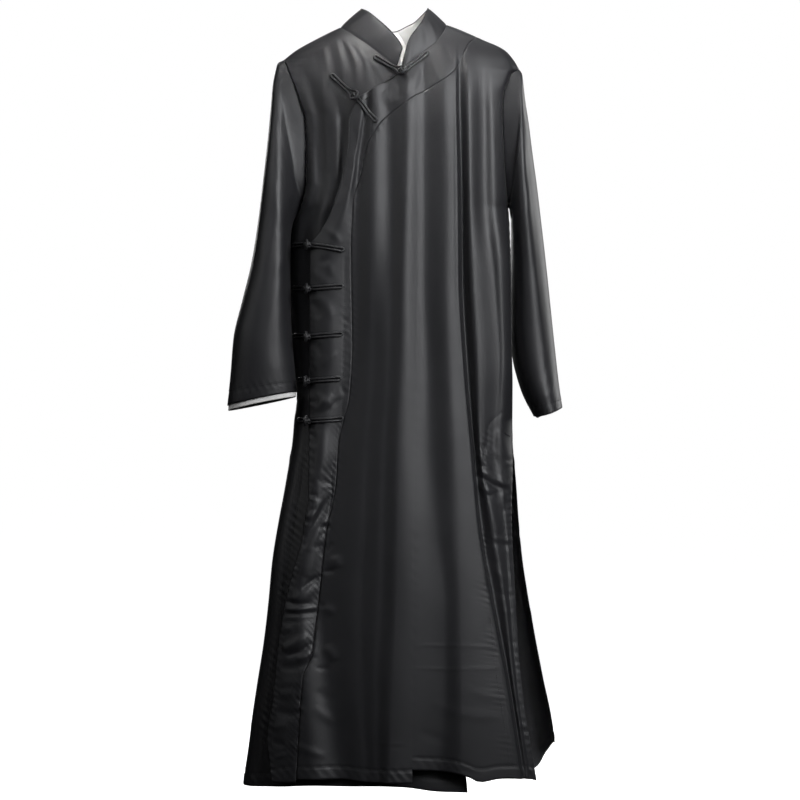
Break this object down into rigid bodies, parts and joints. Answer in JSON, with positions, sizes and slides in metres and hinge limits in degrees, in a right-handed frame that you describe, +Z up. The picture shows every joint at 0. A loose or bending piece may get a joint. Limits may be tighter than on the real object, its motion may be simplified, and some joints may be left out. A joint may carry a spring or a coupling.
{
  "type": "long gown",
  "caption": "Black satin men's long gown with a standing collar, side-lapped front, cord fastenings, long sleeves with white linings and side slits, hanging filled out.",
  "frame": {"origin": "the neck line between the shoulders, where a wearer or a hanger holds the gown up", "axes": "+X to the wearer's left, -Y out of the front, +Z up along the hanging gown"},
  "size_m": [0.602, 0.2524, 1.3993],
  "materials": {
    "satin": "smooth black satin with a soft sheen",
    "white_lining": "matt white cotton lining",
    "cord": "black cloth cord"
  },
  "bodies": {
    "root": {"back": "satin", "collar": "satin", "collar_lining": "white_lining", "cuff_lining_left": "white_lining", "cuff_lining_right": "white_lining", "frog_chest_knot": "cord", "frog_chest_loop": "cord", "frog_neck_knot": "cord", "frog_neck_loop": "cord", "frog_side_1_knot": "cord", "frog_side_1_loop": "cord", "frog_side_2_knot": "cord", "frog_side_2_loop": "cord", "frog_side_3_knot": "cord", "frog_side_3_loop": "cord", "frog_side_4_knot": "cord", "frog_side_4_loop": "cord", "frog_side_5_knot": "cord", "frog_side_5_loop": "cord", "front_left": "satin", "front_right": "satin", "overlap_band": "satin", "sleeve_left": "satin", "sleeve_right": "satin", "underlap": "satin"}
  },
  "joints": []
}
